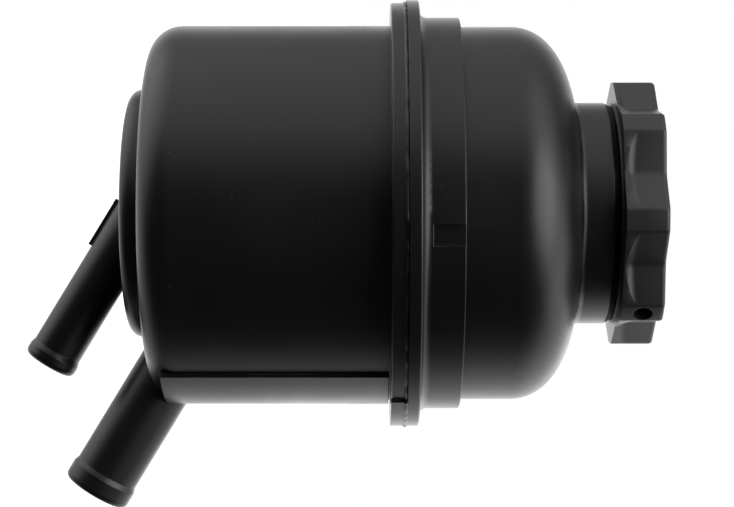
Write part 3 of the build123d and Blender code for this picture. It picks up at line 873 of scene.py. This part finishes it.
@dataclass(frozen=True)
class GripShell:
    """The cap's shell: lobes, V-shaped gaps, a scoop in each gap, a screw bore and a socket."""

    low: float
    top: float
    lobe_radius: float = 30.8 * MM
    foot_radius: float = 27.9 * MM
    valley_radius: float = 26.5 * MM
    valley_fillet: float = 2.8 * MM
    bore_radius: float = 22.9 * MM
    skirt_radius: float = 25.9 * MM
    skirt_drop: float = 0.5 * MM
    lid_thickness: float = 2.4 * MM
    ceiling_ring: float = 2.54 * MM
    socket_radius: float = 5.8 * MM
    socket_depth: float = 3.0 * MM
    socket_wall: float = 2.0 * MM
    lip_radius: float = 5.08 * MM
    lip_thickness: float = 1.0 * MM
    cove_radius: float = 2.4 * MM
    cove_height: float = 0.35 * MM
    cove_sag: float = 1.4 * MM
    cove_half_width: float = 12.1 * MM
    cove_steepest: float = 0.985
    edge_radius: float = 0.9 * MM
    lobe_pitch: float = math.radians(45.0)
    first_lobe: float = math.radians(-86.0)
    gap_half_angle: float = math.radians(18.0)
    scoop_half_angle: float = math.radians(17.0)
    angle_slack: float = 1e-6
    vent_radius: float = 2.2 * MM
    vent_depth: float = 3.4 * MM
    vent_segments: int = 48
    cove_rows: int = 9
    edge_rows: int = 5
    steps: int = 720

    @staticmethod
    def leaning(middle: float, lean: float, turn: float) -> float:
        """Distance from the axis to a V of flat faces, at a turn from its middle."""
        return middle / (math.cos(turn) - lean * abs(math.sin(turn)))

    def gap_face(self, turn: float) -> float:
        """Finds the two faces of a gap.

        Args:
            turn: Angle from the gap's middle.

        Returns:
            The faces' radius there.
        """
        corner = self.lobe_radius * math.cos(self.gap_half_angle)
        rise = corner - self.foot_radius
        lean = rise / (self.lobe_radius * math.sin(self.gap_half_angle))
        return self.leaning(self.foot_radius, lean, turn)

    def scoop_face(self, turn: float) -> float:
        """Finds the two faces of a scoop and the soft valley between them.

        Args:
            turn: Angle from the gap's middle.

        Returns:
            Their radius there.
        """
        edge = self.gap_face(self.scoop_half_angle)
        lean = edge * math.cos(self.scoop_half_angle) - self.valley_radius
        lean /= edge * math.sin(self.scoop_half_angle)
        across = self.valley_radius * abs(math.tan(turn))
        slope = math.atan(lean)
        if across >= self.valley_fillet * math.sin(slope):
            return self.leaning(self.valley_radius, lean, turn)
        centre = self.valley_radius + self.valley_fillet / math.cos(slope)
        return (centre - math.sqrt(self.valley_fillet**2 - across**2)) / math.cos(turn)

    def wall_point(self, angle: float, row: int) -> Pair:
        """Finds the place of one row of the outer wall.

        Args:
            angle: Angle about the axis.
            row: Number of the row, counted up from the bottom edge.

        Returns:
            The radius and the height.
        """
        turn = (angle - self.first_lobe) % self.lobe_pitch - self.lobe_pitch / 2
        plain = min(self.lobe_radius, self.gap_face(turn))
        if row == 0:
            return plain, self.low
        reach = min(abs(turn), self.scoop_half_angle)
        depth = max(0.0, self.gap_face(reach) - self.scoop_face(reach))
        across = self.gap_face(reach) * math.sin(reach) / self.cove_half_width
        floor = self.low + self.cove_height + self.cove_sag * across**2
        start = math.asin(min(self.cove_steepest, max(0.0, 1 - depth / self.cove_radius)))
        share = min(1.0, (row - 1) / (self.cove_rows - 1))
        climb = start + (math.pi / 2 - start) * share
        cove = self.cove_radius * (1 - math.sin(climb))
        radius = plain
        if abs(turn) < self.scoop_half_angle - self.angle_slack:
            radius = min(plain, self.scoop_face(turn) + cove)
        height = floor + self.cove_radius * (1 - math.cos(climb))
        if row <= self.cove_rows:
            return radius, height
        swing = (row - self.cove_rows - 1) / (self.edge_rows - 1) * math.pi / 2
        radius -= self.edge_radius * (1 - math.cos(swing))
        return radius, self.top - self.edge_radius * (1 - math.sin(swing))

    def inside(self) -> list[Pair]:
        """Half section of the inside, from the socket's ceiling out to the skirt.

        Returns:
            Radius and height of each corner.
        """
        ceiling = self.top - self.lid_thickness
        socket_low = ceiling - self.socket_depth
        lip_top = socket_low + self.lip_thickness
        socket_outer = self.socket_radius + self.socket_wall
        skirt_low = self.low - self.skirt_drop
        return [
            (self.ceiling_ring, ceiling),
            (self.socket_radius, ceiling),
            (self.socket_radius, lip_top),
            (self.lip_radius, lip_top),
            (self.lip_radius, socket_low),
            (socket_outer, socket_low),
            (socket_outer, ceiling),
            (self.bore_radius, ceiling),
            (self.bore_radius, skirt_low),
            (self.skirt_radius, skirt_low),
            (self.skirt_radius, self.low),
        ]

    def shape(self) -> Mesh:
        """Spins the half section, shapes the outer wall row by row and bores the small hole.

        Returns:
            The closed shell.
        """
        shape = bmesh.new()
        rows = shape.verts.layers.int.new("row")
        corners = [shape.verts.new((radius, 0.0, height)) for radius, height in self.inside()]
        for row in range(self.cove_rows + self.edge_rows + 1):
            radius, height = self.wall_point(0.0, row)
            corner = shape.verts.new((radius, 0.0, height))
            corner[rows] = row + 1
            corners.append(corner)
        corners.append(shape.verts.new((self.bore_radius, 0.0, self.top)))
        for first, second in zip(corners, corners[1:]):
            shape.edges.new((first, second))
        turn_once(shape, corners, self.steps)
        for corner in shape.verts:
            if corner[rows]:
                angle = math.atan2(corner.co.y, corner.co.x)
                radius, height = self.wall_point(angle, corner[rows] - 1)
                corner.co = (radius * math.cos(angle), radius * math.sin(angle), height)
        ends = [edge for edge in shape.edges if edge.is_boundary]
        bmesh.ops.holes_fill(shape, edges=ends, sides=0)
        return cut_away(shape, self.vent())

    def vent(self) -> Mesh:
        """Forms the tool for the small blind hole in one lobe.

        Returns:
            The tool.
        """
        angle = self.first_lobe + self.lobe_pitch
        outward = Vector((math.cos(angle), math.sin(angle), 0.0))
        centre = outward * self.lobe_radius + AXIS * (self.low + self.top) / 2
        turn = outward.to_track_quat("Z", "Y").to_matrix().to_4x4()
        tool = bmesh.new()
        bmesh.ops.create_cone(
            tool,
            cap_ends=True,
            segments=self.vent_segments,
            radius1=self.vent_radius,
            radius2=self.vent_radius,
            depth=2 * self.vent_depth,
            matrix=Matrix.Translation(centre) @ turn,
        )
        return tool


@dataclass(frozen=True)
class WeldedHousing:
    """The welded pair of shells: its squeezed weld bead, screw neck and mould marks."""

    finisher: Finisher
    tab_half_angle: float = math.radians(31.0)
    bead_height: float = 0.9 * MM
    bead_stand: float = 0.32 * MM
    bead_root: float = 0.6 * MM
    bead_overlap: float = 0.05 * MM
    bead_face: tuple[Pair, ...] = ((0.2, 0.0), (1.0, 0.35), (1.0, 0.7))
    bead_top_stand: float = 0.4
    bead_wander: float = 0.44 * MM
    bead_sway: float = 0.12 * MM
    bead_grit: float = 0.06 * MM
    bead_steps: int = 420
    wave_seed: int = 7
    wave_total: int = 14
    wave_counts: tuple[int, int] = (9, 90)
    wave_sizes: Pair = (0.3, 1.0)
    base_level: float = -73.2 * MM
    gate_radius: float = 1.5 * MM
    gate_taper: float = 0.8
    gate_depth: float = 0.7 * MM
    gate_sink: float = 0.3 * MM
    gate_bevel: float = 0.15 * MM
    gate_segments: int = 28
    sharp_edge: float = 1.0
    neck_radius: float = 21.9 * MM
    thread_height: float = 0.75 * MM
    thread_drop: float = 4.2 * MM
    thread_turns: float = 0.8

    def build(self) -> None:
        """Dresses the shells and adds their fine pieces."""
        for node in ("lower_bowl", "upper_housing"):
            self.finisher.dress_node(node, Slot.HOUSING)
        self.weld_bead()
        self.neck_thread()
        self.gate_mark()

    def bead_section(self, flange: float, plane: float) -> list[Pair]:
        """Half section of the bead, before it wanders.

        Args:
            flange: Radius of the flanges' rims.
            plane: Height of the weld.

        Returns:
            Radius and height of each corner.
        """
        inner = flange - self.bead_root
        top = plane + self.bead_overlap
        bottom = plane - self.bead_height
        face = [
            (flange + self.bead_stand * out, bottom + self.bead_height * up)
            for out, up in self.bead_face
        ]
        brow = (flange + self.bead_stand * self.bead_top_stand, top)
        return [(inner, bottom), *face, brow, (inner, top)]

    def weld_bead(self) -> None:
        """The uneven bead that the weld squeezed out between the two flanges."""
        low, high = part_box("upper_housing")
        flange = -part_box("lower_bowl")[0].y
        tab_step = high.x - flange
        draw = random.Random(self.wave_seed)
        waves = []
        for _ in range(self.wave_total):
            count, turn = draw.randint(*self.wave_counts), draw.uniform(0, FULL_TURN)
            waves.append((count, turn, draw.uniform(*self.wave_sizes)))
        total = sum(size for _, _, size in waves)
        shape = bmesh.new()
        corners = ring_profile(shape, self.bead_section(flange, low.z))
        turn_once(shape, corners, self.bead_steps)
        for corner in shape.verts:
            radius = corner.co.xy.length
            if radius < flange:
                continue
            angle = math.atan2(corner.co.y, corner.co.x)
            wave = sum(size * math.sin(count * angle + turn) for count, turn, size in waves) / total
            stand = self.bead_wander * wave + draw.uniform(-self.bead_grit, self.bead_grit)
            tab = tab_step if abs(angle) < self.tab_half_angle else 0.0
            corner.co.xy *= (radius + stand + tab) / radius
            corner.co.z += self.bead_sway * wave
        self.finisher.make_piece(shape, "weld_bead", "housing", Slot.HOUSING)

    def neck_thread(self) -> None:
        """The screw ridge round the filler neck."""
        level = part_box("upper_housing")[1].z - self.thread_drop
        crest = self.neck_radius + self.thread_height
        thread = ThreadForm(self.neck_radius, crest, level, self.thread_turns)
        self.finisher.make_piece(thread.shape(), "neck_thread", "housing", Slot.HOUSING)

    def gate_mark(self) -> None:
        """The broken-off moulding gate in the middle of the base."""
        shape = bmesh.new()
        bmesh.ops.create_cone(
            shape,
            cap_ends=True,
            segments=self.gate_segments,
            radius1=self.gate_radius * self.gate_taper,
            radius2=self.gate_radius,
            depth=self.gate_depth,
            matrix=Matrix.Translation((0, 0, self.base_level - self.gate_sink)),
        )
        rim = [
            edge
            for edge in shape.edges
            if not edge.is_boundary and edge.calc_face_angle(0) > self.sharp_edge
        ]
        bmesh.ops.bevel(
            shape,
            geom=rim,
            offset=self.gate_bevel,
            segments=2,
            profile=0.5,
            affect="EDGES",
            material=-1,
        )
        self.finisher.make_piece(shape, "base_gate_mark", "housing", Slot.HOUSING)


@dataclass(frozen=True)
class FillerClosure:
    """The cap with its screw ridge, and the plug, seal and dipstick that it carries."""

    finisher: Finisher
    bore_radius: float = 22.9 * MM
    thread_height: float = 0.75 * MM
    thread_rise: float = 2.6 * MM
    thread_turns: float = 0.7

    def build(self) -> None:
        """Makes the cap's shell and its screw ridge, and dresses the pieces that it carries."""
        self.finisher.dress_node("filler_cap", Slot.CAP)
        self.finisher.dress_node("cap_insert", Slot.INSERT)
        self.finisher.dress_node("cap_seal_ring", Slot.SEAL)
        self.finisher.dress_node("dipstick", Slot.DIPSTICK)
        low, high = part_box("filler_cap")
        grip = GripShell(low.z + GripShell.skirt_drop, high.z, bore_radius=self.bore_radius)
        shell = self.finisher.make_piece(grip.shape(), "cap_grip_shell", "cap_shell", Slot.CAP)
        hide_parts("filler_cap")
        thread = ThreadForm(
            self.bore_radius,
            self.bore_radius - self.thread_height,
            low.z + self.thread_rise,
            self.thread_turns,
            start_angle=math.pi,
        )
        self.finisher.make_piece(thread.shape(), "cap_thread", "cap_shell", Slot.CAP)


@dataclass(frozen=True)
class FilterStack:
    """The filter cartridge with the spring, retainer and strainer round it."""

    finisher: Finisher
    lift: float = 4.0 * MM
    merge_distance: float = 0.001 * MM

    def build(self) -> None:
        """Dresses every inner piece and remakes the spring as a piece of its own."""
        slots = {
            "filter_bottom_plate": Slot.END_DISC,
            "filter_top_plate": Slot.END_DISC,
            "filter_core": Slot.END_DISC,
            "filter_media": Slot.PAPER,
            "filter_grommet": Slot.SEAL,
            "filter_spring": Slot.SPRING,
            "spring_retainer": Slot.INNER,
            "suction_strainer": Slot.INNER,
        }
        for node, slot in slots.items():
            self.finisher.dress_node(node, slot)
        self.hold_down_spring()

    def hold_down_spring(self) -> None:
        """The spring, remade from the CAD spring's mesh with its doubled corners merged."""
        coil = bmesh.new()
        coil.from_mesh(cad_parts["filter_spring"].data)
        bmesh.ops.remove_doubles(coil, verts=coil.verts, dist=self.merge_distance)
        spring = self.finisher.make_piece(coil, "hold_down_spring", "housing", Slot.SPRING)
        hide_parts("filter_spring")
        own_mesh(spring)


@dataclass(frozen=True)
class SoftPanel:
    """A large diffused panel of the studio, far enough away to be part of the surroundings.

    Attributes:
        direction: Where it stands, as seen from the object.
        dark_beyond: Degrees from its middle past which it gives no light.
        full_within: Degrees from its middle up to which it gives all its light.
        level: Strength of that light.
        reach: How much longer it is along the object's axis than across it.
    """

    direction: Triple
    dark_beyond: float
    full_within: float
    level: float
    reach: float = 1.0

    def glow(self, tree: Tree, looking: Socket) -> Socket:
        """Strength of the panel's light in each direction.

        Args:
            tree: Node tree of the surroundings.
            looking: Output socket with the direction, as a unit vector.

        Returns:
            The strength's output socket.
        """
        narrowing = (1.0, 1.0, 1.0 / self.reach)
        drawn_in = add_node(tree, "VectorMath", {0: looking, 1: narrowing}, operation="MULTIPLY")
        unit = add_node(tree, "VectorMath", {0: drawn_in.outputs[0]}, operation="NORMALIZE")
        aim = Vector(self.direction).normalized()
        near = add_node(tree, "VectorMath", {0: unit.outputs[0], 1: aim}, operation="DOT_PRODUCT")
        edges = (math.cos(math.radians(angle)) for angle in (self.dark_beyond, self.full_within))
        return ramp(tree, near.outputs["Value"], *edges, 0.0, self.level)


@dataclass(frozen=True)
class Studio:
    """The pale floor, the white surroundings, the soft panels and the photograph's camera."""

    camera_place: Triple = (0.0095, -0.485, -0.0177)
    lens: float = 100.7
    sensor: float = 36.0
    floor_gap: float = 0.4 * MM
    floor_radius: float = 8.0
    floor_segments: int = 96
    floor_tone: float = 0.3
    front_level: float = 0.04
    panels: tuple[SoftPanel, ...] = (
        SoftPanel((0.0, 1.0, 0.0), 42.0, 10.0, 1.5),
        SoftPanel((-0.62, 0.78, 0.0), 62.0, 15.0, 0.44),
        SoftPanel((0.62, 0.78, 0.0), 56.0, 8.0, 0.66),
        SoftPanel((-0.97, -0.24, 0.0), 50.0, 5.0, 0.54, 1.7),
        SoftPanel((-0.85, -0.5, 0.1), 50.0, 5.0, 0.36),
        SoftPanel((-0.68, 0.05, -0.73), 44.0, 6.0, 1.25),
        SoftPanel((-0.35, 0.4, -0.85), 40.0, 8.0, 0.42),
        SoftPanel((0.25, 0.6, -0.76), 40.0, 8.0, 0.5),
        SoftPanel((-0.1, -0.56, 0.82), 34.0, 14.0, 3.1),
        SoftPanel((-0.6, -0.25, 0.76), 40.0, 8.0, 0.9),
        SoftPanel((0.2, -0.05, 0.98), 34.0, 8.0, 1.3),
        SoftPanel((0.55, 0.6, 0.58), 48.0, 12.0, 0.85),
    )

    def build(self) -> None:
        """Builds the floor, the surroundings and the camera."""
        self.floor()
        self.surroundings()
        self.camera()
        bpy.context.scene.view_settings.view_transform = "Standard"

    @staticmethod
    def white_rays(tree: Tree) -> Socket:
        """Marks the rays that see plain white: those of the camera and those through glass."""
        path = add_node(tree, "LightPath").outputs
        return maths(tree, "MAXIMUM", path["Is Camera Ray"], path["Is Transmission Ray"])

    def floor_material(self) -> bpy.types.Material:
        """Finish of the floor: white of its own, and pale enough to keep a faint shadow.

        Returns:
            The material.
        """
        material = bpy.data.materials.new("pale_floor")
        material.use_nodes = True
        tree = material.node_tree
        tree.nodes.clear()
        glow = add_node(tree, "Emission", {"Color": grey(1.0), "Strength": 1.0})
        faint = add_node(tree, "BsdfDiffuse", {"Color": grey(self.floor_tone)})
        lit = add_node(tree, "AddShader", {0: glow.outputs[0], 1: faint.outputs[0]})
        add_node(tree, "OutputMaterial", {"Surface": lit.outputs[0]})
        return material

    def floor(self) -> None:
        """A wide pale disc just under the object."""
        shape = bmesh.new()
        level = CAD_BOX[0].z - self.floor_gap
        bmesh.ops.create_circle(
            shape,
            cap_ends=True,
            segments=self.floor_segments,
            radius=self.floor_radius,
            matrix=Matrix.Translation((0, 0, level)),
        )
        mesh = written_mesh(shape, "studio_floor")
        mesh.materials.append(self.floor_material())
        floor = placed_object("studio_floor", mesh)
        floor.visible_diffuse = False
        floor.visible_glossy = False
        floor.visible_shadow = False

    def surroundings(self) -> None:
        """White for the camera, and for the light the soft panels round a dark front."""
        world = bpy.data.worlds.new("studio_room")
        bpy.context.scene.world = world
        world.use_nodes = True
        tree = world.node_tree
        tree.nodes.clear()
        direction = add_node(tree, "TexCoord").outputs["Generated"]
        level = self.front_level
        for panel in self.panels:
            level = maths(tree, "ADD", panel.glow(tree, direction), level)
        room = add_node(tree, "Background", {"Color": grey(1.0), "Strength": level}).outputs[0]
        white = add_node(tree, "Background", {"Color": grey(1.0), "Strength": 1.0}).outputs[0]
        both = add_node(tree, "MixShader", {0: self.white_rays(tree), 1: room, 2: white})
        add_node(tree, "OutputWorld", {"Surface": both.outputs[0]})

    def camera(self) -> None:
        """The photograph's view: level with the axis, with the filler neck to the right."""
        lens = bpy.data.cameras.new("photo_camera")
        lens.lens = self.lens
        lens.sensor_width = self.sensor
        holder = placed_object("photo_camera", lens)
        right, up, back = Vector((0, 0, 1)), Vector((-1, 0, 0)), Vector((0, -1, 0))
        turn = Matrix((right, up, back)).transposed().to_4x4()
        holder.matrix_world = Matrix.Translation(self.camera_place) @ turn
        bpy.context.scene.camera = holder


def main() -> None:
    """Builds the studio, then each sub-assembly from the outside in."""
    logging.basicConfig(level=logging.INFO, format="%(message)s")
    Studio().build()
    finisher = Finisher()
    for assembly in (WeldedHousing(finisher), FillerClosure(finisher), FilterStack(finisher)):
        LOG.info("building %s", type(assembly).__name__)
        assembly.build()


if __name__ == "__main__":
    main()
